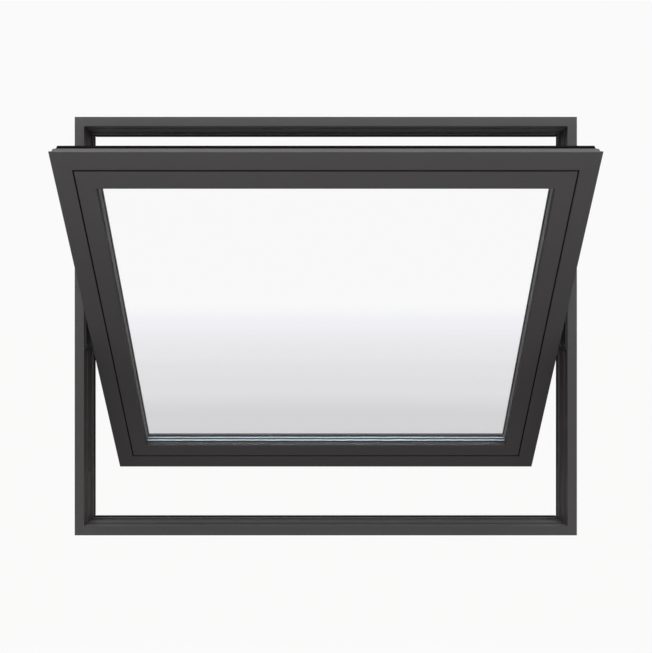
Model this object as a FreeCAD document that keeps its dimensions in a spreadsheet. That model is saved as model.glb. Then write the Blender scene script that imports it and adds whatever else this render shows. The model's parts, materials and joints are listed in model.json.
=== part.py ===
import FreeCAD, Part
import math
import os
import re
import Sketcher

# A horizontal pivot window: a mitred aluminium frame that carries a glazed sash on two friction
# pivots at mid height. The top of the sash swings in to the room and its bottom swings out.
#
# Millimetres. X runs along the width, Y runs from the room to the outside, Z is up. The origin is
# the middle of the underside of the sill: half the width, half the frame depth.
#
# Each frame and sash member is drawn in its own section: "depth" is measured back from the room
# side face and "inset" is measured from the outer edge towards the glass.

SIZES = {
    # Outer frame
    "frame_width": 1200,
    "frame_height": 1000,
    "frame_depth": 76,
    "frame_wall": 2,
    "face_inset": 22.5,
    "lip_depth": 22,
    "floor_inset": 24.5,
    "stop_inset": 28.5,
    "stop_thickness": 20,
    "stop_seal_width": 12,
    "stop_seal_height": 2,
    "stop_seal_rise": 1.7,
    "stop_seal_nose": 1,
    "edge_ease": 0.6,
    "edge_round": 1,
    "cut_overrun": 5,
    # Fixing holes through the jambs
    "fixing_radius": 4,
    "fixing_spacing": 700,
    "fixing_depth": 38,
    # Drain slots through the outside face of the sill
    "drain_spacing": 800,
    "drain_length": 30,
    "drain_radius": 2.5,
    "drain_inset": 12,
    # Sash
    "sash_gap": 5,
    "sash_wall": 2,
    "sash_depth": 45,
    "band_width": 40.8,
    "flange_depth": 3.5,
    "step_inset": 3,
    "step_depth": 23,
    "seat_inset": 10,
    "seal_height": 4,
    "seal_margin": 1,
    "seal_foot": 1.6,
    "seal_slope": 3,
    "seal_groove": 2,
    # Glazing beads
    "bead_groove": 3.2,
    "bead_width": 40,
    "bead_depth": 12,
    "bead_wall": 1.5,
    "bead_round": 1.5,
    "leg_depth": 7,
    "leg_reach": 14,
    # Insulating glass unit and its gaskets
    "pane_thickness": 6,
    "cavity": 6,
    "edge_cover": 10,
    "front_gasket": 3.5,
    "gasket_height": 7,
    "gasket_recess": 0.5,
    "gasket_nose": 0.8,
    "gasket_foot": 1.4,
    "spacer_height": 6,
    "spacer_recess": 0.5,
    # Pivots
    "pivot_setback": 26.3,
    "open_angle": 37.3,
    "hinge_length": 120,
    "hinge_margin": 4,
    "hinge_plate": 2,
    "hinge_corner": 7,
    "hinge_boss_radius": 13,
    "hinge_boss_height": 4.5,
    "screw_radius": 2.1,
    "screw_head_radius": 3.9,
    "screw_end": 13,
    "screw_edge": 9,
    "pin_radius": 6,
    "pin_chamfer": 0.8,
    "pin_play": 0.05,
    "pin_end_gap": 0.4,
    "bore_floor": 0.6,
    "washer_radius": 11,
    "washer_play": 0.3,
    "sash_plate_length": 110,
    "sash_plate_margin": 1,
}

SASH_INSET = "(stop_inset + sash_gap)"
SASH_WIDTH = f"(frame_width - 2 * {SASH_INSET})"
SASH_HEIGHT = f"(frame_height - 2 * {SASH_INSET})"
BEAD_START = "(band_width + bead_groove)"
SIGHT_INSET = f"({BEAD_START} + bead_width)"
PANE_INSET = f"({SIGHT_INSET} - edge_cover)"
REBATE_INSET = f"({SIGHT_INSET} - leg_reach)"
PANE_FRONT = "(bead_depth + front_gasket)"
UNIT_BACK = f"({PANE_FRONT} + 2 * pane_thickness + cavity)"
LEG_FRONT = "(sash_depth - leg_depth)"
PIVOT_DEPTH = "pivot_setback"
STOP_FRONT = "(frame_depth - stop_thickness)"
STOP_SEAL_FRONT = "(frame_depth - stop_seal_width)"
BOSS_TOP = "(floor_inset + hinge_plate + hinge_boss_height)"
BORE_BOTTOM = "(floor_inset + bore_floor)"

# Where the wedge gasket narrows, as shares of the way from the metal to the glass
GASKET_ROOT = 0.3
GASKET_BROW = 0.7

COUNTERSINK = 90
CLOSE = 1e-4


def bound(text):
    """A sheet expression with each size named in full."""
    return re.sub(r"[a-z][a-z_]+", lambda name: "sizes." + name.group(), text)


def add_sheet(doc):
    """Put the driving sizes in a sheet, one plain number and one alias a row."""
    sheet = doc.addObject("Spreadsheet::Sheet", "sizes")
    for row, (name, value) in enumerate(SIZES.items(), start=1):
        sheet.set(f"A{row}", str(value))
        sheet.setAlias(f"A{row}", name)
    doc.recompute()
    return sheet


def origin_plane(body, role):
    """One of the body's own origin planes."""
    for feature in body.Origin.OriginFeatures:
        if feature.Role == role:
            return feature
    raise ValueError(role)


def sketch_on(body, role, name):
    """An empty sketch on one of the body's origin planes."""
    sketch = body.newObject("Sketcher::SketchObject", name)
    sketch.AttachmentSupport = [(origin_plane(body, role), "")]
    sketch.MapMode = "FlatFace"
    return sketch


def raise_sketch(sketch, height):
    """Move a sketch along its own normal."""
    lift = f"vector(0; 0; {bound(height)})"
    sketch.setExpression("AttachmentOffset", f"placement({lift}; rotation(vector(0; 0; 1); 0))")


def outline(sketch, corners):
    """A closed chain of straight edges whose corners are pairs of sheet expressions."""
    count = len(corners)
    first = sketch.GeometryCount
    turns = [2 * math.pi * k / count for k in range(count)]
    guess = [FreeCAD.Vector(50 + 20 * math.cos(turn), 50 + 20 * math.sin(turn), 0) for turn in turns]
    for k in range(count):
        sketch.addGeometry(Part.LineSegment(guess[k], guess[(k + 1) % count]))
    for k in range(count):
        following = first + (k + 1) % count
        sketch.addConstraint(Sketcher.Constraint("Coincident", first + k, 2, following, 1))
    for k, (across, up) in enumerate(corners):
        x_rule = sketch.addConstraint(Sketcher.Constraint("DistanceX", -1, 1, first + k, 1, guess[k].x))
        sketch.setExpression(f"Constraints[{x_rule}]", bound(across))
        y_rule = sketch.addConstraint(Sketcher.Constraint("DistanceY", -1, 1, first + k, 1, guess[k].y))
        sketch.setExpression(f"Constraints[{y_rule}]", bound(up))


def place_centre(sketch, edge, across, up):
    """Hold the centre of a circle or arc at a place from the sheet."""
    x_rule = sketch.addConstraint(Sketcher.Constraint("DistanceX", -1, 1, edge, 3, 50))
    sketch.setExpression(f"Constraints[{x_rule}]", bound(across))
    y_rule = sketch.addConstraint(Sketcher.Constraint("DistanceY", -1, 1, edge, 3, 30))
    sketch.setExpression(f"Constraints[{y_rule}]", bound(up))


def spot_circle(sketch, across, up, radius):
    """A circle whose centre and radius come from the sheet."""
    edge = sketch.addGeometry(Part.Circle(FreeCAD.Vector(50, 30, 0), FreeCAD.Vector(0, 0, 1), 5))
    place_centre(sketch, edge, across, up)
    size_rule = sketch.addConstraint(Sketcher.Constraint("Radius", edge, 5))
    sketch.setExpression(f"Constraints[{size_rule}]", bound(radius))


def round_slot(sketch, across, up, length, radius):
    """A slot with round ends, lying along the sketch's first axis."""
    half = f"({length} / 2 - {radius})"
    normal = FreeCAD.Vector(0, 0, 1)
    right = Part.Circle(FreeCAD.Vector(60, 30, 0), normal, 5)
    left = Part.Circle(FreeCAD.Vector(20, 30, 0), normal, 5)
    quarter = math.pi / 2
    ends = [
        sketch.addGeometry(Part.ArcOfCircle(right, -quarter, quarter)),
        sketch.addGeometry(Part.ArcOfCircle(left, quarter, 3 * quarter)),
    ]
    top = sketch.addGeometry(Part.LineSegment(FreeCAD.Vector(60, 35, 0), FreeCAD.Vector(20, 35, 0)))
    bottom = sketch.addGeometry(Part.LineSegment(FreeCAD.Vector(20, 25, 0), FreeCAD.Vector(60, 25, 0)))
    corners = [(ends[0], 2, top, 1), (top, 2, ends[1], 1), (ends[1], 2, bottom, 1), (bottom, 2, ends[0], 1)]
    for corner in corners:
        sketch.addConstraint(Sketcher.Constraint("Tangent", *corner))
    for arc, place in zip(ends, (f"{across} + {half}", f"{across} - {half}")):
        place_centre(sketch, arc, place, up)
        size_rule = sketch.addConstraint(Sketcher.Constraint("Radius", arc, 5))
        sketch.setExpression(f"Constraints[{size_rule}]", bound(radius))


def rectangle(low, high):
    """The corners of a rectangle between two opposite ones."""
    return [(low[0], low[1]), (high[0], low[1]), (high[0], high[1]), (low[0], high[1])]


def extrude_section(doc, name, rings, length):
    """A bar along X, centred, with the section drawn in depth and inset."""
    body = doc.addObject("PartDesign::Body", name)
    section = sketch_on(body, "YZ_Plane", name + "_section")
    for ring in rings:
        outline(section, ring)
    bar = body.newObject("PartDesign::Pad", name + "_bar")
    bar.Profile = section
    bar.Midplane = True
    bar.setExpression("Length", bound(length))
    return body


def round_edges(doc, body, spots, radius):
    """Round the long edges of a bar that run through the given places of its section."""
    doc.recompute()
    bar = body.Tip
    places = [[float(bar.evalExpression(bound(text))) for text in spot] for spot in spots]
    edges = []
    for number, edge in enumerate(bar.Shape.Edges, start=1):
        box = edge.BoundBox
        along = box.YLength < CLOSE and box.ZLength < CLOSE
        if along and any(math.hypot(box.YMin - depth, box.ZMin - inset) < CLOSE for depth, inset in places):
            edges.append(f"Edge{number}")
    rounded = body.newObject("PartDesign::Fillet", body.Name + "_edges")
    rounded.Base = (bar, edges)
    rounded.setExpression("Radius", bound(radius))


def cut_through(body, sketch, name):
    """Cut a sketch right through a body, both ways from the sketch."""
    cut = body.newObject("PartDesign::Pocket", name)
    cut.Profile = sketch
    cut.Type = "ThroughAll"
    cut.Midplane = True
    return cut


def mirror_across(body, feature, name):
    """Repeat a feature on the other side of the middle of a member."""
    both = body.newObject("PartDesign::Mirrored", name)
    both.Originals = [feature]
    both.MirrorPlane = (origin_plane(body, "YZ_Plane"), [""])
    body.Tip = both


def mitre_ends(body, length, reach):
    """Cut both ends of a bar at 45 degrees, from its full length at inset zero."""
    half = f"{length} / 2"
    top = f"({reach} + cut_overrun)"
    corner = sketch_on(body, "XZ_Plane", body.Name + "_mitre")
    outline(corner, [(half, "0"), (half, top), (f"{half} - {top}", top)])
    cut = cut_through(body, corner, body.Name + "_mitre_cut")
    mirror_across(body, cut, body.Name + "_mitres")


def frame_section():
    """The outer line of a frame member and its three chambers."""
    seal_seat = "(stop_inset - stop_seal_height)"
    line = [
        ("0", "0"),
        ("0", "face_inset"),
        ("lip_depth", "face_inset"),
        ("lip_depth", "floor_inset"),
        (STOP_FRONT, "floor_inset"),
        (STOP_FRONT, "stop_inset"),
        (STOP_SEAL_FRONT, "stop_inset"),
        (STOP_SEAL_FRONT, seal_seat),
        ("frame_depth", seal_seat),
        ("frame_depth", "0"),
    ]
    room_chamber = rectangle(("frame_wall", "frame_wall"), ("lip_depth", "face_inset - frame_wall"))
    main_chamber = rectangle(("lip_depth + frame_wall", "frame_wall"),
                             (STOP_FRONT, "floor_inset - frame_wall"))
    outer_chamber = rectangle((f"{STOP_FRONT} + frame_wall", "frame_wall"),
                              ("frame_depth - frame_wall", f"{seal_seat} - frame_wall"))
    return [line, room_chamber, main_chamber, outer_chamber]


def sash_section():
    """The outer line of a sash member and its four chambers."""
    line = [
        ("0", "0"),
        ("0", "band_width - edge_ease"),
        ("edge_ease", "band_width"),
        ("bead_depth", "band_width"),
        ("bead_depth", REBATE_INSET),
        (LEG_FRONT, REBATE_INSET),
        (LEG_FRONT, SIGHT_INSET),
        ("sash_depth", SIGHT_INSET),
        ("sash_depth", "seat_inset"),
        ("step_depth", "seat_inset"),
        ("step_depth", "step_inset"),
        ("flange_depth", "step_inset"),
        ("flange_depth", "0"),
    ]
    web = "(band_width - sash_wall)"
    room_chamber = rectangle(("sash_wall", "step_inset + sash_wall"), ("step_depth - sash_wall", web))
    outer_chamber = rectangle(("step_depth", "seat_inset + sash_wall"), ("sash_depth - sash_wall", web))
    bead_chamber = rectangle(("bead_depth + sash_wall", "band_width"),
                             (LEG_FRONT, f"{REBATE_INSET} - sash_wall"))
    leg_chamber = rectangle((f"{LEG_FRONT} + sash_wall", "band_width"),
                            ("sash_depth - sash_wall", f"{SIGHT_INSET} - sash_wall"))
    return [line, room_chamber, outer_chamber, bead_chamber, leg_chamber]


def bead_section():
    """A hollow glazing bead, flush with the sash face."""
    line = [
        ("0", f"{BEAD_START} + edge_ease"),
        ("0", SIGHT_INSET),
        ("bead_depth", SIGHT_INSET),
        ("bead_depth", BEAD_START),
        ("edge_ease", BEAD_START),
    ]
    chamber = rectangle(("bead_wall", f"{BEAD_START} + bead_wall"),
                        ("bead_depth - bead_wall", f"{SIGHT_INSET} - bead_wall"))
    return [line, chamber]


def stop_seal_section(rise):
    """The black seal on the outer part of the frame's stop, sloping up to a lip."""
    seat = "stop_inset - stop_seal_height"
    line = [
        (STOP_SEAL_FRONT, seat),
        (STOP_SEAL_FRONT, "stop_inset"),
        ("frame_depth - stop_seal_nose", f"stop_inset + {rise}"),
        ("frame_depth", f"stop_inset + {rise} - edge_ease"),
        ("frame_depth", seat),
    ]
    return [line]


def sash_seal_section():
    """The black seal round the outer half of the sash: a thin foot, two ribs and a groove."""
    start = "(step_depth + seal_margin)"
    end = "(sash_depth - seal_margin)"
    middle = f"(({start} + {end}) / 2)"
    top = "(seat_inset - seal_height)"
    foot = "(seat_inset - seal_foot)"
    line = [
        (start, "seat_inset"),
        (start, foot),
        (f"{start} + seal_slope", top),
        (f"{middle} - seal_groove", top),
        (f"{middle} - seal_groove / 2", foot),
        (f"{middle} + seal_groove / 2", foot),
        (f"{middle} + seal_groove", top),
        (f"{end} - edge_ease", top),
        (end, f"{top} + edge_ease"),
        (end, "seat_inset"),
    ]
    return [line]


def drill_fixings(body):
    """Two fixing holes through a jamb, the same distance above and below its middle."""
    spot = sketch_on(body, "XY_Plane", body.Name + "_fixing")
    spot_circle(spot, "fixing_spacing / 2", "fixing_depth", "fixing_radius")
    hole = cut_through(body, spot, body.Name + "_fixing_hole")
    mirror_across(body, hole, body.Name + "_fixing_holes")


def cut_drains(body):
    """Two round-ended slots through the outside wall of the sill, for rain that gets in."""
    slot = sketch_on(body, "XZ_Plane", body.Name + "_drain")
    round_slot(slot, "drain_spacing / 2", "drain_inset", "drain_length", "drain_radius")
    raise_sketch(slot, "-frame_depth")
    cut = body.newObject("PartDesign::Pocket", body.Name + "_drain_cut")
    cut.Profile = slot
    cut.setExpression("Length", bound("frame_wall + edge_ease"))
    cut.Reversed = True
    mirror_across(body, cut, body.Name + "_drains")


def round_feature(body, kind, name, radius, start, length, away=False):
    """A round boss or bore square to the inset direction, on the pivot axis."""
    spot = sketch_on(body, "XY_Plane", name + "_ring")
    spot_circle(spot, "0", PIVOT_DEPTH, radius)
    raise_sketch(spot, start)
    feature = body.newObject(kind, name)
    feature.Profile = spot
    feature.setExpression("Length", bound(length))
    feature.Reversed = away
    return feature


def round_ends(doc, body, name):
    """Round the four outer corners of a hinge plate."""
    doc.recompute()
    bar = body.Tip
    box = bar.Shape.BoundBox
    corners = []
    for number, edge in enumerate(bar.Shape.Edges, start=1):
        spot = edge.BoundBox
        upright = spot.XLength < CLOSE and spot.YLength < CLOSE
        outermost = min(spot.YMin - box.YMin, box.YMax - spot.YMax) < CLOSE
        if upright and outermost:
            corners.append(f"Edge{number}")
    rounded = body.newObject("PartDesign::Fillet", name + "_corners")
    rounded.Base = (bar, corners)
    rounded.setExpression("Radius", bound("hinge_corner"))


def screw_holes(doc, body, name, length, front, back, top):
    """Four countersunk holes near the corners of a hinge plate, sunk from its top face."""
    spots = sketch_on(body, "XY_Plane", name + "_screw_spots")
    raise_sketch(spots, top)
    reach = f"({length} / 2 - screw_end)"
    for across in (reach, f"-{reach}"):
        for up in (f"{front} + screw_edge", f"{back} - screw_edge"):
            spot_circle(spots, across, up, "screw_radius")
    doc.recompute()
    holes = body.newObject("PartDesign::Hole", name + "_screw_holes")
    holes.Profile = spots
    doc.recompute()
    holes.DepthType = "ThroughAll"
    holes.HoleCutType = "Countersink"
    holes.HoleCutCustomValues = True
    holes.HoleCutCountersinkAngle = COUNTERSINK
    holes.setExpression("Diameter", bound("2 * screw_radius"))
    holes.setExpression("HoleCutDiameter", bound("2 * screw_head_radius"))
    return holes


def frame_hinge(doc, name):
    """The frame half of a pivot: a plate over the lip and the floor, with a bored boss."""
    top = "(floor_inset + hinge_plate)"
    back = f"({STOP_FRONT} - hinge_margin)"
    line = [
        ("hinge_margin", "face_inset"),
        ("hinge_margin", top),
        (back, top),
        (back, "floor_inset"),
        ("lip_depth", "floor_inset"),
        ("lip_depth", "face_inset"),
    ]
    body = extrude_section(doc, name, [line], "hinge_length")
    round_ends(doc, body, name)
    screw_holes(doc, body, name, "hinge_length", "hinge_margin", back, top)
    round_feature(body, "PartDesign::Pad", name + "_boss", "hinge_boss_radius", top, "hinge_boss_height")
    round_feature(body, "PartDesign::Pocket", name + "_bore", "pin_radius + pin_play",
                  BOSS_TOP, f"{BOSS_TOP} - {BORE_BOTTOM}")
    return body


def sash_hinge(doc, name):
    """The sash half of a pivot: a stepped plate on the stile, with the pin."""
    front = "(flange_depth + sash_plate_margin)"
    back = "(sash_depth - sash_plate_margin)"
    line = [
        (front, "0"),
        (front, "step_inset"),
        ("step_depth", "step_inset"),
        ("step_depth", "seat_inset"),
        (back, "seat_inset"),
        (back, "0"),
    ]
    body = extrude_section(doc, name, [line], "sash_plate_length")
    round_ends(doc, body, name)
    holes = screw_holes(doc, body, name, "sash_plate_length", front, back, "0")
    holes.Reversed = True
    length = f"{SASH_INSET} - {BORE_BOTTOM} - pin_end_gap"
    pin = round_feature(body, "PartDesign::Pad", name + "_pin", "pin_radius", "0", length, away=True)
    doc.recompute()
    tip = pin.Shape.BoundBox.ZMin
    rim = [f"Edge{number}" for number, edge in enumerate(pin.Shape.Edges, start=1)
           if edge.BoundBox.ZMax - tip < CLOSE]
    nose = body.newObject("PartDesign::Chamfer", name + "_pin_nose")
    nose.Base = (pin, rim)
    nose.setExpression("Size", bound("pin_chamfer"))
    return body


def washer(doc, name):
    """The friction washer that lies on the boss, just clear of the sash plate."""
    body = doc.addObject("PartDesign::Body", name)
    thickness = f"{SASH_INSET} - {BOSS_TOP} - washer_play"
    round_feature(body, "PartDesign::Pad", name + "_disc", "washer_radius", BOSS_TOP, thickness)
    round_feature(body, "PartDesign::Pocket", name + "_eye", "pin_radius + pin_play",
                  f"{BOSS_TOP} + {thickness}", thickness)
    return body


def split_for_hinge(body):
    """Leave the middle of a stile's seal out where the hinge plate sits."""
    half = "(sash_plate_length / 2 + seal_margin)"
    gap = sketch_on(body, "XZ_Plane", body.Name + "_gap")
    outline(gap, rectangle(("0", "0"), (half, "seat_inset + cut_overrun")))
    cut = cut_through(body, gap, body.Name + "_gap_cut")
    mirror_across(body, cut, body.Name + "_gap_both")


def sheet_box(doc, name, inset, front, back):
    """A flat box parallel to the glass, drawn about the pivot axis with the sash upright."""
    box = doc.addObject("Part::Box", name)
    box.setExpression("Length", bound(f"{SASH_WIDTH} - 2 * {inset}"))
    box.setExpression("Width", bound(f"{back} - {front}"))
    box.setExpression("Height", bound(f"{SASH_HEIGHT} - 2 * {inset}"))
    box.setExpression("Placement", box_place(inset, front))
    return box


def box_place(inset, front):
    """Where the low corner of such a box goes."""
    across = bound(f"-{SASH_WIDTH} / 2 + {inset}")
    depth = bound(f"{front} - pivot_setback")
    up = bound(f"-{SASH_HEIGHT} / 2 + {inset}")
    return f"placement(vector({across}; {depth}; {up}); {turned('0; 1; 0', 0)})"


def pane(doc, name, front):
    """One sheet of glass, its edges let in behind the beads."""
    box = sheet_box(doc, name, PANE_INSET, front, f"({front} + pane_thickness)")
    box.setExpression("Placement", f"{pivot_place()} * {box_place(PANE_INSET, front)}")
    return box


def gasket(doc, name, glass_side, bead_side):
    """A wedge gasket, one section swept round the pane. Its foot is wide on the bead's side."""
    line = f"({SIGHT_INSET} - gasket_recess)"
    start = f"({line} - gasket_height)"
    towards_glass = f"({glass_side} - {bead_side})"
    body = doc.addObject("PartDesign::Body", name)
    path = sketch_on(body, "XZ_Plane", name + "_path")
    low = f"(-{SASH_HEIGHT} / 2 + {line})"
    right = f"({SASH_WIDTH} / 2 - {line})"
    high = f"-{low}"
    left = f"-{right}"
    outline(path, [("0", low), (right, low), (right, high), (left, high), (left, low)])
    section = sketch_on(body, "YZ_Plane", name + "_section")
    corners = [
        (bead_side, start),
        (f"{bead_side} + {towards_glass} * {GASKET_ROOT}", start),
        (glass_side, f"{start} + gasket_foot"),
        (glass_side, f"{line} - gasket_nose"),
        (f"{bead_side} + {towards_glass} * {GASKET_BROW}", line),
        (bead_side, line),
    ]
    drop = f"- {SASH_HEIGHT} / 2"
    outline(section, [(f"{depth} - pivot_setback", f"{inset} {drop}") for depth, inset in corners])
    ring = body.newObject("PartDesign::AdditivePipe", name + "_ring")
    ring.Profile = section
    ring.Spine = (path, [f"Edge{side}" for side in range(1, 6)])
    ring.Transition = "Right corner"
    body.setExpression("Placement", pivot_place())
    return body


def flat_ring(doc, name, outer_inset, inner_inset, front, back):
    """A rectangular ring parallel to the glass."""
    ring = doc.addObject("Part::Cut", name)
    ring.Base = sheet_box(doc, name + "_outer", outer_inset, front, back)
    ring.Tool = sheet_box(doc, name + "_inner", inner_inset,
                          f"({front} - cut_overrun)", f"({back} + cut_overrun)")
    ring.setExpression("Placement", pivot_place())
    return ring


def turned(axis, angle):
    """The expression of a turn about an axis through the origin."""
    return f"rotation(vector({axis}); {angle})"


def frame_place(side):
    """Where a frame member, drawn as a sill, goes."""
    front = bound("-frame_depth / 2")
    places = {
        "bottom": ("0", "0", 0),
        "top": ("0", bound("frame_height"), 180),
        "left": (bound("-frame_width / 2"), bound("frame_height / 2"), 90),
        "right": (bound("frame_width / 2"), bound("frame_height / 2"), -90),
    }
    across, up, angle = places[side]
    return f"placement(vector({across}; {front}; {up}); {turned('0; 1; 0', angle)})"


def pivot_place():
    """The open sash: turned about the pivot axis, which crosses the middle of the jambs."""
    front = bound("-frame_depth / 2 + pivot_setback")
    height = bound("frame_height / 2")
    turn = turned("1; 0; 0", bound("open_angle"))
    return f"placement(vector(0; {front}; {height}); {turn})"


def sash_place(side):
    """Where a sash member, drawn as a bottom rail, goes."""
    front = bound("-pivot_setback")
    places = {
        "bottom": ("0", bound(f"-{SASH_HEIGHT} / 2"), 0),
        "top": ("0", bound(f"{SASH_HEIGHT} / 2"), 180),
        "left": (bound(f"-{SASH_WIDTH} / 2"), "0", 90),
        "right": (bound(f"{SASH_WIDTH} / 2"), "0", -90),
    }
    across, up, angle = places[side]
    member = f"placement(vector({across}; {front}; {up}); {turned('0; 1; 0', angle)})"
    return f"{pivot_place()} * {member}"


def build_frame(doc):
    """The four frame members, their seals and the frame halves of the pivots."""
    names = {"bottom": "sill", "top": "head", "left": "jamb_left", "right": "jamb_right"}
    nodes = []
    for side, word in names.items():
        length = "frame_width" if side in ("bottom", "top") else "frame_height"
        member = extrude_section(doc, f"frame_{word}", frame_section(), length)
        round_edges(doc, member, [("0", "face_inset"), (STOP_FRONT, "stop_inset")], "edge_round")
        mitre_ends(member, length, "stop_inset")
        if side == "bottom":
            cut_drains(member)
        if side in ("left", "right"):
            drill_fixings(member)
        rise = "stop_seal_rise" if side in ("bottom", "top") else "0"
        seal = extrude_section(doc, f"stop_seal_{word}", stop_seal_section(rise), length)
        mitre_ends(seal, length, f"(stop_inset + {rise})")
        for body in (member, seal):
            body.setExpression("Placement", frame_place(side))
            nodes.append(body)
    for side in ("left", "right"):
        for body in (frame_hinge(doc, f"hinge_frame_plate_{side}"), washer(doc, f"hinge_washer_{side}")):
            body.setExpression("Placement", frame_place(side))
            nodes.append(body)
    return nodes


def build_sash(doc):
    """The sash members, beads and seals, and the sash halves of the pivots."""
    names = {"bottom": "rail_bottom", "top": "rail_top", "left": "stile_left", "right": "stile_right"}
    nodes = []
    for side, word in names.items():
        length = SASH_WIDTH if side in ("bottom", "top") else SASH_HEIGHT
        member = extrude_section(doc, f"sash_{word}", sash_section(), length)
        round_edges(doc, member, [("0", "0"), ("step_depth", "step_inset")], "edge_round")
        bead = extrude_section(doc, f"bead_{side}", bead_section(), length)
        round_edges(doc, bead, [("0", SIGHT_INSET)], "bead_round")
        seal = extrude_section(doc, f"sash_seal_{side}", sash_seal_section(), length)
        for body in (member, bead, seal):
            mitre_ends(body, length, SIGHT_INSET)
            body.setExpression("Placement", sash_place(side))
            nodes.append(body)
        if side in ("left", "right"):
            split_for_hinge(seal)
            plate = sash_hinge(doc, f"hinge_sash_plate_{side}")
            plate.setExpression("Placement", sash_place(side))
            nodes.append(plate)
    return nodes


def build_glazing(doc):
    """The two panes, the spacer between them and the gaskets that grip them."""
    second_pane = f"({PANE_FRONT} + pane_thickness + cavity)"
    spacer_start = f"({PANE_INSET} + spacer_recess)"
    pieces = [
        pane(doc, "glass_inner", PANE_FRONT),
        pane(doc, "glass_outer", second_pane),
        flat_ring(doc, "glass_spacer", spacer_start, f"({spacer_start} + spacer_height)",
                  f"({PANE_FRONT} + pane_thickness)", second_pane),
        gasket(doc, "gasket_inner", PANE_FRONT, "bead_depth"),
        gasket(doc, "gasket_outer", UNIT_BACK, LEG_FRONT),
    ]
    return pieces


def main():
    doc = FreeCAD.newDocument("pivot_window")
    add_sheet(doc)
    nodes = build_frame(doc) + build_sash(doc) + build_glazing(doc)
    doc.recompute()
    write(doc, nodes)


def write(doc, nodes):
    """Check every object and each piece, then save one file a piece."""
    for item in doc.Objects:
        if "Invalid" in item.State or "Error" in item.State:
            raise RuntimeError(f"{item.Name}: {item.State}")
    for node in nodes:
        if node.Shape.isNull() or not node.Shape.isValid():
            raise RuntimeError(f"{node.Label} has no valid shape")
    os.makedirs("parts", exist_ok=True)
    for node in nodes:
        node.Shape.exportStep(f"parts/{node.Label}.step")
        box = node.Shape.BoundBox
        print(f"{node.Label}: {len(node.Shape.Solids)} solids, {node.Shape.Volume:.0f} mm3, "
              f"{box.XLength:.1f} x {box.YLength:.1f} x {box.ZLength:.1f}")


main()
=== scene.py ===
# %% [markdown]
# A horizontal pivot window, seen from the room with its sash swung open. The sash is a glazed leaf
# that turns on two pins at mid height, so its top comes in to the room and its bottom goes out.
# The aluminium members, the glass and the pivots come ready made as a fixed frame of meshes, true
# to size. This lesson gives them their finishes, adds the small parts that a photographer would
# see close up, and lights them in a plain studio.

# %% Load the fixed frame
import json
import math

import bpy
from mathutils import Matrix, Vector


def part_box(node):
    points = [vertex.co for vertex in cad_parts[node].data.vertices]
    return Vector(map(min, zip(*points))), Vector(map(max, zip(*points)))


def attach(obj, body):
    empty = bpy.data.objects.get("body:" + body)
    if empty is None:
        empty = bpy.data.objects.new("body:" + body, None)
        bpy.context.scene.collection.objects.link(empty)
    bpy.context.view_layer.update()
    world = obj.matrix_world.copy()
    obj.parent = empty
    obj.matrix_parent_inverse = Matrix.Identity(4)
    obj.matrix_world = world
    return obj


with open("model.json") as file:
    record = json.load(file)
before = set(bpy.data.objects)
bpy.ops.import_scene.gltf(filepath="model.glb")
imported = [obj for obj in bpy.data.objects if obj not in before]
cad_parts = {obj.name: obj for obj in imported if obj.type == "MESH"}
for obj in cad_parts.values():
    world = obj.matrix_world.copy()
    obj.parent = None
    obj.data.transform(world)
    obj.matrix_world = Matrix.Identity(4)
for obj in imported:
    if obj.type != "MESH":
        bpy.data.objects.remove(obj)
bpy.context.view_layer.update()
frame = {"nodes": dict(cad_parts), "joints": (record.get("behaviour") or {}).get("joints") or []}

nodes = frame["nodes"]
print("members and fittings:", len(nodes))

# %% [markdown]
# Everything on the sash is easiest to place while the sash is shut, when its sides are upright and
# its face is flush with the frame. One turn about the pivot pins then carries such a place to the
# open pose. The pivot and the angle are read from the joint, whose lower limit is the shut sash.

# %% The pivot and the turn from shut to open
pivot_joint = next(joint for joint in frame["joints"] if joint["name"] == "sash_pivot")
pivot = Vector(pivot_joint["pos_m"])
open_angle = -math.radians(pivot_joint["range_deg"][0])
shut_to_open = (
    Matrix.Translation(pivot)
    @ Matrix.Rotation(open_angle, 4, "X")
    @ Matrix.Translation(-pivot)
)
print("pivot at", tuple(round(c, 4) for c in pivot), "open by", round(math.degrees(open_angle), 1), "degrees")

# %% Sizes that the added parts share
MM = 0.001
frame_low, frame_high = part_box("frame_jamb_left")
frame_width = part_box("frame_sill")[1].x * 2
frame_height = frame_high.z
frame_depth = frame_high.y - frame_low.y
sash_inset = 33.5 * MM
sash_width = frame_width - 2 * sash_inset
sash_height = frame_height - 2 * sash_inset
sight_inset = 84 * MM
face_y = frame_low.y
print("sash", round(sash_width, 4), "by", round(sash_height, 4))

# %% [markdown]
# The camera stands square to the window at mid height, a little under two metres away. The lens is
# a normal one. Its focal length follows from how fast the open sash seems to widen towards the
# viewer: the nearer a camera stands, the stronger that is.

# %% Camera
IMAGE_WIDTH = 652
FOCAL_PIXELS = 792.6
CAMERA_DISTANCE = 1.8938
SENSOR = 36

camera_data = bpy.data.cameras.new("camera")
camera_data.sensor_fit = "HORIZONTAL"
camera_data.sensor_width = SENSOR
camera_data.lens = FOCAL_PIXELS / IMAGE_WIDTH * SENSOR
camera_data.shift_x = 0.0003
camera_data.shift_y = -0.0006
camera = bpy.data.objects.new("camera", camera_data)
camera.location = (0, face_y - CAMERA_DISTANCE, frame_height / 2)
camera.rotation_euler = (math.radians(90), 0, 0)
bpy.context.scene.collection.objects.link(camera)
bpy.context.scene.camera = camera
bpy.context.scene.view_settings.view_transform = "Standard"
print("lens", round(camera_data.lens, 2), "mm")

# %% [markdown]
# A few words save a lot of clicking in a node tree: one helper adds a node with its settings, one
# joins two sockets, and one starts an empty material.

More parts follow.
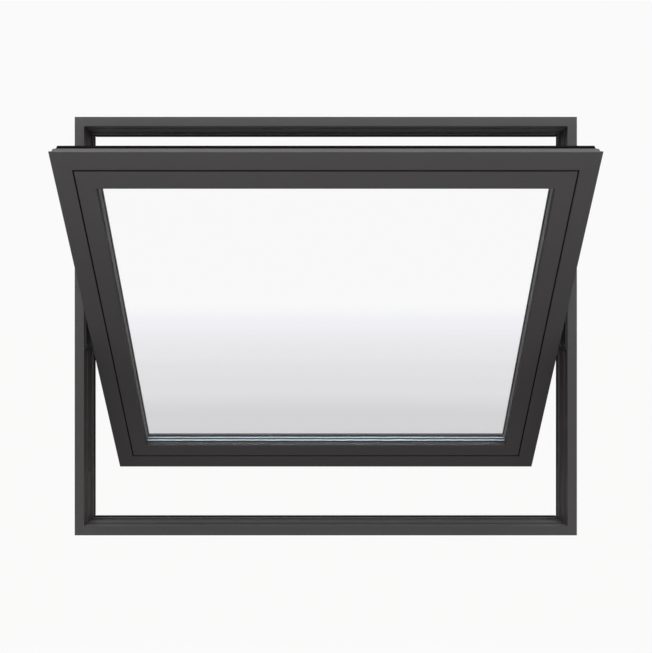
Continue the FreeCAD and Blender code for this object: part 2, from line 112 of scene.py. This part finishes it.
# %% Helpers for node trees
def add(tree, kind, inputs=None, **settings):
    """A node of a kind, with its own settings and with values on its input sockets."""
    node = tree.nodes.new(kind)
    for name, value in settings.items():
        setattr(node, name, value)
    for name, value in (inputs or {}).items():
        node.inputs[name].default_value = value
    return node


def join(tree, source, target):
    """Link an output socket to an input socket."""
    tree.links.new(source, target)


def empty_material(name):
    """A material with nothing but its output node, and that node."""
    material = bpy.data.materials.new(name)
    material.use_nodes = True
    material.node_tree.nodes.clear()
    output = add(material.node_tree, "ShaderNodeOutputMaterial")
    return material, material.node_tree, output


# %% [markdown]
# The picture has no horizon: the floor and the sky are the same near white. The floor is a wide
# plain disc at the level where a room's floor lies under such a window. It is lit like anything
# else and catches a soft shadow, and a little glow lifts it to the white of the backdrop. Light
# Path tells what asks: the camera and mirrors see that white, light that passes the glass sees a
# pale grey floor with painted shade, darker near the window and paling into the haze of the sky far
# off, and soft light bouncing about meets a dark floor, so that undersides stay dark.

# %% What the camera, the glass and soft light see
WHITE = 0.955
FLOOR_DROP = 0.9
FLOOR_REACH = 900
SOFT_FLOOR = (0.1, 0.09, 0.08, 1)
SOFT_SKY = (0.56, 0.51, 0.46, 1)


def ray_mask(tree, names):
    """1 for the named kinds of ray, else 0."""
    path = add(tree, "ShaderNodeLightPath")
    mask = path.outputs[names[0]]
    for name in names[1:]:
        either = add(tree, "ShaderNodeMath", operation="MAXIMUM")
        join(tree, mask, either.inputs[0])
        join(tree, path.outputs[name], either.inputs[1])
        mask = either.outputs[0]
    return mask


def mix_colours(tree, mask, off, on):
    """A colour mix: off where the mask is 0, on where it is 1. Each may be a colour or a socket."""
    mix = add(tree, "ShaderNodeMix", data_type="RGBA")
    join(tree, mask, mix.inputs["Factor"])
    for socket, value in ((mix.inputs[6], off), (mix.inputs[7], on)):
        if isinstance(value, bpy.types.NodeSocket):
            join(tree, value, socket)
        else:
            socket.default_value = value
    return mix.outputs[2]


# %% The world
HAZE = (0.88, 0.88, 0.92, 1)
HAZE_HEIGHT = 0.028

world = bpy.data.worlds.new("studio")
bpy.context.scene.world = world
world.use_nodes = True
sky = world.node_tree
sky.nodes.clear()
direction = add(sky, "ShaderNodeTexCoord")
height = add(sky, "ShaderNodeSeparateXYZ")
join(sky, direction.outputs["Generated"], height.inputs[0])
above_haze = add(sky, "ShaderNodeMapRange", {"From Max": HAZE_HEIGHT}, interpolation_type="SMOOTHSTEP")
join(sky, height.outputs["Z"], above_haze.inputs["Value"])
white = (WHITE, WHITE, WHITE, 1)
through_glass = mix_colours(sky, above_haze.outputs[0], HAZE, white)
seen = mix_colours(sky, ray_mask(sky, ["Is Transmission Ray"]), white, through_glass)
shown = ray_mask(sky, ["Is Camera Ray", "Is Glossy Ray", "Is Transmission Ray"])
background = add(sky, "ShaderNodeBackground")
join(sky, mix_colours(sky, shown, SOFT_SKY, seen), background.inputs["Color"])
join(sky, background.outputs[0], add(sky, "ShaderNodeOutputWorld").inputs["Surface"])
print("world: white to the camera, soft sky", SOFT_SKY[:3])

# %% The floor
FLOOR_COLOUR = (0.1, 0.1, 0.104, 1)
FLOOR_GLOW = 0.927
NEAR = 9
# Painted shade on the floor as seen through the glass: darker near the window, paler far off.
FLOOR_PAINTED_SHADE = {
    0.00: (0.869, 0.869, 0.914, 1),
    0.20: (0.793, 0.793, 0.811, 1),
    0.40: (0.787, 0.787, 0.802, 1),
    0.50: (0.766, 0.764, 0.783, 1),
    0.80: (0.627, 0.629, 0.643, 1),
}

bpy.ops.mesh.primitive_circle_add(vertices=96, radius=FLOOR_REACH, fill_type="NGON", location=(0, 0, -FLOOR_DROP))
floor = bpy.context.object
floor.name = "floor"
floor_finish, tree, output = empty_material("floor")
place = add(tree, "ShaderNodeNewGeometry")
spread = add(tree, "ShaderNodeVectorMath", operation="LENGTH")
join(tree, place.outputs["Position"], spread.inputs[0])
nearness = add(tree, "ShaderNodeMath", {0: NEAR}, operation="DIVIDE")
join(tree, spread.outputs["Value"], nearness.inputs[1])
floor_shade_ramp = add(tree, "ShaderNodeValToRGB")
stops = floor_shade_ramp.color_ramp.elements
while len(stops) < len(FLOOR_PAINTED_SHADE):
    stops.new(0.5)
for stop, (position, colour) in zip(stops, FLOOR_PAINTED_SHADE.items()):
    stop.position = position
    stop.color = colour
join(tree, nearness.outputs[0], floor_shade_ramp.inputs["Fac"])
through = mix_colours(tree, ray_mask(tree, ["Is Transmission Ray"]), white, floor_shade_ramp.outputs["Color"])
lit = add(tree, "ShaderNodeBsdfDiffuse", {"Color": FLOOR_COLOUR})
glow = add(tree, "ShaderNodeEmission", {"Strength": FLOOR_GLOW})
join(tree, through, glow.inputs["Color"])
pale = add(tree, "ShaderNodeAddShader")
join(tree, lit.outputs[0], pale.inputs[0])
join(tree, glow.outputs[0], pale.inputs[1])
soft = add(tree, "ShaderNodeBsdfDiffuse", {"Color": SOFT_FLOOR})
choose = add(tree, "ShaderNodeMixShader")
join(tree, ray_mask(tree, ["Is Camera Ray", "Is Glossy Ray", "Is Transmission Ray"]), choose.inputs["Fac"])
join(tree, soft.outputs[0], choose.inputs[1])
join(tree, pale.outputs[0], choose.inputs[2])
join(tree, choose.outputs[0], output.inputs["Surface"])
floor.data.materials.append(floor_finish)
print("floor", FLOOR_DROP, "m below the sill")

# %% [markdown]
# Four soft lights share the work. A strip lamp above the window lights the frame's face and, most of
# all, the top edge of the sash, which looks up at it. A wide box lamp low in front fills the leaning
# sash from below, as light thrown back by a room's floor would. A low strip with a narrow spread
# looks up from beside the camera: it lights the top of the sash most and fades towards the pivots.
# A weak and very soft sun from high up draws the shadow on the floor. The lamps themselves stay out
# of sight: neither the camera nor the mirror of the panes may catch them.

# %% Lamps
def lamp(name, kind, energy, location, target, colour=(1, 1, 1), **settings):
    """A lamp at a place, shining at a target, with its own settings."""
    data = bpy.data.lights.new(name, kind)
    data.energy = energy
    data.color = colour
    for setting, value in settings.items():
        setattr(data, setting, value)
    made = bpy.data.objects.new(name, data)
    made.location = location
    made.rotation_mode = "QUATERNION"
    made.rotation_quaternion = (Vector(target) - made.location).to_track_quat("-Z", "Y")
    made.visible_camera = False
    made.visible_glossy = False
    made.visible_transmission = False
    bpy.context.scene.collection.objects.link(made)
    print(name, energy)


lamp("high_sun", "SUN", 0.68, (0, -2.5, 3.5), (0, 0, 0), (0.88, 0.95, 1), angle=math.radians(40))
lamp(
    "top_strip", "AREA", 9.7, (0, -0.7, 2.3), (0, -0.3, 0.85), (0.92, 0.97, 1),
    shape="RECTANGLE", size=3, size_y=0.3, spread=math.radians(50),
)
lamp(
    "low_strip", "AREA", 2.8, (0, -2.2, 0.3), (0, 0, 1.2),
    shape="RECTANGLE", size=2.6, size_y=0.25, spread=math.radians(44),
)
lamp("low_box", "AREA", 37, (0, -3, -0.4), (0, 0, 0.4), shape="RECTANGLE", size=3, size_y=0.4)

# %% [markdown]
# The bars are powder coated: a dry powder is sprayed on and baked to a thin skin. Close up it has a
# fine grain, like orange peel, and its tone drifts a little over a bar. A group makes both from two
# noises, so that the coat, the rubber and the plastic can all use it at their own scales.

# %% Fine grain, a group for several finishes
def grain_group():
    """A shader group: a drifting tone for the colour, and a fine height for the bump."""
    group = bpy.data.node_groups.new("fine_grain", "ShaderNodeTree")
    sockets = group.interface
    sockets.new_socket("Colour", in_out="INPUT", socket_type="NodeSocketColor")
    sockets.new_socket("Grain per metre", in_out="INPUT", socket_type="NodeSocketFloat")
    sockets.new_socket("Drift per metre", in_out="INPUT", socket_type="NodeSocketFloat")
    sockets.new_socket("Drift", in_out="INPUT", socket_type="NodeSocketFloat")
    sockets.new_socket("Roughness", in_out="INPUT", socket_type="NodeSocketFloat")
    sockets.new_socket("Roughness spread", in_out="INPUT", socket_type="NodeSocketFloat")
    sockets.new_socket("Colour", in_out="OUTPUT", socket_type="NodeSocketColor")
    sockets.new_socket("Roughness", in_out="OUTPUT", socket_type="NodeSocketFloat")
    sockets.new_socket("Height", in_out="OUTPUT", socket_type="NodeSocketFloat")
    given = add(group, "NodeGroupInput")
    made = add(group, "NodeGroupOutput")
    where = add(group, "ShaderNodeTexCoord")
    grain = add(group, "ShaderNodeTexNoise", {"Detail": 3.0, "Roughness": 0.55})
    join(group, where.outputs["Object"], grain.inputs["Vector"])
    join(group, given.outputs["Grain per metre"], grain.inputs["Scale"])
    join(group, grain.outputs["Fac"], made.inputs["Height"])
    drift = add(group, "ShaderNodeTexNoise", {"Detail": 2.0, "Roughness": 0.5})
    join(group, where.outputs["Object"], drift.inputs["Vector"])
    join(group, given.outputs["Drift per metre"], drift.inputs["Scale"])
    centred = add(group, "ShaderNodeMath", {1: 0.5}, operation="SUBTRACT")
    join(group, drift.outputs["Fac"], centred.inputs[0])
    amount = add(group, "ShaderNodeMath", {2: 1.0}, operation="MULTIPLY_ADD")
    join(group, centred.outputs[0], amount.inputs[0])
    join(group, given.outputs["Drift"], amount.inputs[1])
    tone = add(group, "ShaderNodeVectorMath", operation="SCALE")
    join(group, given.outputs["Colour"], tone.inputs[0])
    join(group, amount.outputs[0], tone.inputs["Scale"])
    join(group, tone.outputs["Vector"], made.inputs["Colour"])
    rough = add(group, "ShaderNodeMath", operation="MULTIPLY_ADD")
    join(group, centred.outputs[0], rough.inputs[0])
    join(group, given.outputs["Roughness spread"], rough.inputs[1])
    join(group, given.outputs["Roughness"], rough.inputs[2])
    join(group, rough.outputs[0], made.inputs["Roughness"])
    return group


fine_grain = grain_group()
print("group:", fine_grain.name)


# %% Matt finishes made with the grain
def grained_material(name, colour, roughness, grain, depth, drift=0.06, **fixed):
    """A material with a fine grain. Fixed values go straight on the shader's own sockets."""
    material, tree, output = empty_material(name)
    detail = add(tree, "ShaderNodeGroup")
    detail.node_tree = fine_grain
    values = {
        "Colour": (*colour, 1),
        "Grain per metre": grain,
        "Drift per metre": 6,
        "Drift": drift,
        "Roughness": roughness,
        "Roughness spread": 0.08,
    }
    for socket, value in values.items():
        detail.inputs[socket].default_value = value
    bump = add(tree, "ShaderNodeBump", {"Strength": 0.35, "Distance": depth})
    join(tree, detail.outputs["Height"], bump.inputs["Height"])
    shader = add(tree, "ShaderNodeBsdfPrincipled", fixed)
    join(tree, detail.outputs["Colour"], shader.inputs["Base Color"])
    join(tree, detail.outputs["Roughness"], shader.inputs["Roughness"])
    join(tree, bump.outputs["Normal"], shader.inputs["Normal"])
    join(tree, shader.outputs[0], output.inputs["Surface"])
    return material


def thin_sheen(weight, roughness):
    """No gloss of the body of the paint, and a weak clear skin over it."""
    return {
        "Specular IOR Level": 0.0,
        "Coat Weight": weight,
        "Coat Roughness": roughness,
        "Coat IOR": 1.5,
    }


coat = grained_material("powder_coat", (0.071, 0.069, 0.071), 0.6, 1800, 0.00006, **thin_sheen(0.15, 0.4))
rubber = grained_material("black_rubber", (0.006, 0.006, 0.006), 0.7, 2600, 0.00004, **thin_sheen(0.02, 0.5))
pivot_metal = grained_material("pivot_paint", (0.03, 0.029, 0.029), 0.5, 1500, 0.00004, **thin_sheen(0.2, 0.35))
washer_plastic = grained_material("washer_plastic", (0.2, 0.2, 0.19), 0.45, 1200, 0.00003)
spacer_bar = grained_material("spacer_bar", (0.016, 0.026, 0.036), 0.5, 900, 0.00003, **thin_sheen(0.2, 0.4))
print("matt finishes:", coat.name, rubber.name, pivot_metal.name, washer_plastic.name, spacer_bar.name)

# %% [markdown]
# Float glass is clear and smooth. A sheet with parallel faces doesn't bend what is seen through it,
# so a low index passes the view straight and a clear coat of index 1.5 on top mirrors as glass does.
# Light from the lamps has to reach what is behind the panes, so a shadow ray meets nothing there.

# %% Glass
glass, tree, output = empty_material("clear_glass")
clear = add(
    tree,
    "ShaderNodeBsdfPrincipled",
    {
        "Base Color": (0.997, 0.998, 0.998, 1),
        "Roughness": 0.0,
        "IOR": 1.01,
        "Transmission Weight": 1.0,
        "Coat Weight": 0.3,
        "Coat Roughness": 0.0,
        "Coat IOR": 1.5,
    },
)
let_through = add(tree, "ShaderNodeBsdfTransparent", {"Color": (0.97, 0.98, 0.98, 1)})
lamps_pass = add(tree, "ShaderNodeMixShader")
join(tree, ray_mask(tree, ["Is Shadow Ray", "Is Diffuse Ray"]), lamps_pass.inputs["Fac"])
join(tree, clear.outputs[0], lamps_pass.inputs[1])
join(tree, let_through.outputs[0], lamps_pass.inputs[2])
join(tree, lamps_pass.outputs[0], output.inputs["Surface"])
print("glass:", glass.name)

# %% [markdown]
# Each piece of the frame takes its finish by what it is. The names say it: seals and gaskets are
# rubber, glass is glass, and all bars and beads have the same coat.

# %% Give every piece its finish
finishes = {
    "glass_spacer": spacer_bar,
    "glass": glass,
    "gasket": rubber,
    "stop_seal": rubber,
    "sash_seal": rubber,
    "hinge_washer": washer_plastic,
    "hinge": pivot_metal,
}
for name, piece in nodes.items():
    finish = next((finishes[start] for start in finishes if name.startswith(start)), coat)
    piece.data.materials.clear()
    piece.data.materials.append(finish)
    piece.data.polygons.foreach_set("material_index", [0] * len(piece.data.polygons))
print("finished:", len(nodes), "pieces")

# %% [markdown]
# Everything that runs round the sash has one section, mitred at four corners. Such a ring is a few
# loops: each point of the section is a rectangle round the shut sash, at its own inset from the
# sash's outer edge and its own depth behind the face. Faces join each rectangle to the next, and the
# turn to the open pose comes last.

# %% A ring round the sash
def sash_ring(name, section, finish):
    """Sweep a closed section of (inset, depth) points round the sash and hang it on the sash."""
    middle = frame_height / 2
    corners = ((-1, -1), (1, -1), (1, 1), (-1, 1))
    points = []
    for inset, depth in section:
        for across, up in corners:
            shut = Vector((
                across * (sash_width / 2 - inset),
                face_y + depth,
                middle + up * (sash_height / 2 - inset),
            ))
            points.append(shut_to_open @ shut)
    faces = []
    for loop in range(len(section)):
        following = (loop + 1) % len(section)
        for corner in range(4):
            beside = (corner + 1) % 4
            faces.append((loop * 4 + corner, following * 4 + corner, following * 4 + beside, loop * 4 + beside))
    mesh = bpy.data.meshes.new(name)
    mesh.from_pydata(points, [], faces)
    mesh.materials.append(finish)
    piece = bpy.data.objects.new(name, mesh)
    bpy.context.scene.collection.objects.link(piece)
    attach(piece, "sash")
    return piece


# %% [markdown]
# Each glazing bead stands a few millimetres from the member that holds it. A narrow joint drawn as
# open space would be lit on one of its sides and look grey there, but on the real sash the joint
# runs deep and is black all round with shade. A black rubber strip stands for that shade as painted
# shade. It lies just under the face.

# %% Painted shade: a black strip in the joint round the beads
BEAD_WIDTH = 40 * MM
JOINT_WIDTH = 3.2 * MM
JOINT_PLAY = 0.05 * MM
STRIP_DEPTHS = (0.6 * MM, 5 * MM)
strip_out = sight_inset - BEAD_WIDTH - JOINT_WIDTH + JOINT_PLAY
strip_in = sight_inset - BEAD_WIDTH - JOINT_PLAY
near, far = STRIP_DEPTHS
# Painted shade: a black strip where the real joint is only dark with shade.
strip = sash_ring(
    "bead_joint_painted_shade",
    [(strip_out, near), (strip_out, far), (strip_in, far), (strip_in, near)],
    rubber,
)
print(strip.name, "is", round((strip_in - strip_out) / MM, 2), "mm wide")

# %% [markdown]
# The panes are let in behind the beads. Seen at a slant, the part of a pane that stands in the
# rebate looks pale blue, because light that enters the sheet runs about inside it and leaves at its
# cut edge. A clear pane alone shows only what is behind it, so that band is a thin ring inside each
# sheet, just under the sight line, whose milky blue is the glass's own tint with that light painted
# in. More light falls in from above, so the painted light is pale where the ring faces up, and it is
# a dull grey painted shade where the ring faces sideways.

# %% The pale edges of the panes, painted light
# Painted light for the faces of the ring that look up, painted shade for those that face sideways.
PAINTED_EDGE_LIGHT = (0.62, 0.73, 0.83, 1)
PAINTED_EDGE_SHADE = (0.30, 0.305, 0.315, 1)
edge_painted_light = grained_material("pane_edge_painted_light", PAINTED_EDGE_LIGHT[:3], 0.3, 300, 0.00002, **thin_sheen(0.1, 0.2))
tree = edge_painted_light.node_tree
facing = add(tree, "ShaderNodeNewGeometry")
upward = add(tree, "ShaderNodeSeparateXYZ")
join(tree, facing.outputs["Normal"], upward.inputs[0])
# The mask that picks painted light where a face looks up and painted shade where it looks sideways.
painted_light_mask = add(tree, "ShaderNodeMapRange", {"From Min": 0.2, "From Max": 0.7})
join(tree, upward.outputs["Z"], painted_light_mask.inputs["Value"])
detail = next(node for node in tree.nodes if node.type == "GROUP")
join(tree, mix_colours(tree, painted_light_mask.outputs[0], PAINTED_EDGE_SHADE, PAINTED_EDGE_LIGHT), detail.inputs["Colour"])

EDGE_REACH = 6 * MM
EDGE_START = 0.1 * MM
PANE_FRONTS = {"inner": 15.5 * MM, "outer": 27.5 * MM}
PALE_DEPTHS = {"inner": (2.5 * MM, 5.95 * MM), "outer": (1.3 * MM, 4.0 * MM)}
for word, front in PANE_FRONTS.items():
    top = sight_inset - EDGE_START
    low = sight_inset - EDGE_REACH
    near = front + PALE_DEPTHS[word][0]
    far = front + PALE_DEPTHS[word][1]
    band = sash_ring(f"pane_edge_painted_light_{word}", [(low, near), (low, far), (top, far), (top, near)], edge_painted_light)
    print(band.name, "rides the sash,", len(band.data.polygons), "faces")

# %% [markdown]
# Each half of a pivot is a plate held by four countersunk screws. A screw is turned on a lathe, so
# it can be built the same way: each loop of points is one step of its outline, from the tip of the
# shank up to the flat head. The cross in the head is one more loop, pressed down in to the metal.

# %% The outline of the cross
SCREW_HEAD = 3.7 * MM
SCREW_SHANK = 2 * MM
SCREW_LENGTH = 4 * MM
CROSS_REACH = 1.9 * MM
CROSS_HALF = 0.5 * MM
CROSS_DEPTH = 1.1 * MM

corner_turn = math.degrees(math.atan2(CROSS_HALF, CROSS_REACH))
quarter_turns = [0, corner_turn / 2, corner_turn, 30, 45, 60, 90 - corner_turn, 90 - corner_turn / 2]
turns = [math.radians(90 * quarter + turn) for quarter in range(4) for turn in quarter_turns]


def cross_radius(turn):
    """How far the cross reaches in a direction: the longer of its two bars."""
    along = max(abs(math.cos(turn)), 1e-6)
    across = max(abs(math.sin(turn)), 1e-6)
    level = min(CROSS_REACH / along, CROSS_HALF / across)
    upright = min(CROSS_HALF / along, CROSS_REACH / across)
    return max(level, upright)


print("points on a loop of a screw:", len(turns))

# %% One screw
def screw_mesh():
    """A countersunk screw with its head in the XY plane and its shank down -Z."""
    steps = [
        (lambda turn: SCREW_SHANK * 0.7, SCREW_LENGTH),
        (lambda turn: SCREW_SHANK, SCREW_LENGTH - 0.6 * MM),
        (lambda turn: SCREW_SHANK, SCREW_HEAD - SCREW_SHANK),
        (lambda turn: SCREW_HEAD, 0.1 * MM),
        (lambda turn: SCREW_HEAD - 0.1 * MM, 0),
        (lambda turn: cross_radius(turn), 0),
        (lambda turn: cross_radius(turn) * 0.6, CROSS_DEPTH),
    ]
    points = []
    for radius, depth in steps:
        for turn in turns:
            points.append((radius(turn) * math.cos(turn), radius(turn) * math.sin(turn), -depth))
    count = len(turns)
    faces = []
    for step in range(len(steps) - 1):
        for k in range(count):
            beside = (k + 1) % count
            low = step * count
            faces.append((low + k, low + beside, low + count + beside, low + count + k))
    faces.append(tuple(reversed(range(count))))
    faces.append(tuple(range((len(steps) - 1) * count, len(steps) * count)))
    mesh = bpy.data.meshes.new("pivot_screw")
    mesh.from_pydata(points, [], faces)
    return mesh


steel = grained_material("screw_steel", (0.09, 0.088, 0.086), 0.45, 1500, 0.00002, Metallic=1.0)
screw = screw_mesh()
screw.materials.append(steel)
print("screw:", len(screw.polygons), "faces")

# %% [markdown]
# The plates on the frame face the sash, and the plates on the sash face the frame. The screws of the
# sash are placed while it is shut, where their places are easy to count from its edges.

# %% Set the screws in the plates
SUNK = 0.05 * MM
PLATES = {
    "frame": {"face": 573.5 * MM, "up": 47 * MM, "depths": (13 * MM, 43 * MM), "looks": -1},
    "sash": {"face": 566.5 * MM, "up": 42 * MM, "depths": (13.5 * MM, 35 * MM), "looks": 1},
}
screws = 0
for body, plate in PLATES.items():
    for side in (-1, 1):
        out = side * plate["looks"]
        for up in (-plate["up"], plate["up"]):
            for depth in plate["depths"]:
                across = side * plate["face"] - out * SUNK
                place = Matrix.Translation((across, face_y + depth, frame_height / 2 + up))
                lie = Matrix.Rotation(math.radians(90) * out, 4, "Y")
                spin = Matrix.Rotation(math.radians(20 + 37 * screws), 4, "Z")
                shut = place @ lie @ spin
                screws += 1
                piece = bpy.data.objects.new(f"pivot_screw_{screws:02d}", screw)
                piece.matrix_world = shut_to_open @ shut if body == "sash" else shut
                bpy.context.scene.collection.objects.link(piece)
                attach(piece, body)
print("screws:", screws)
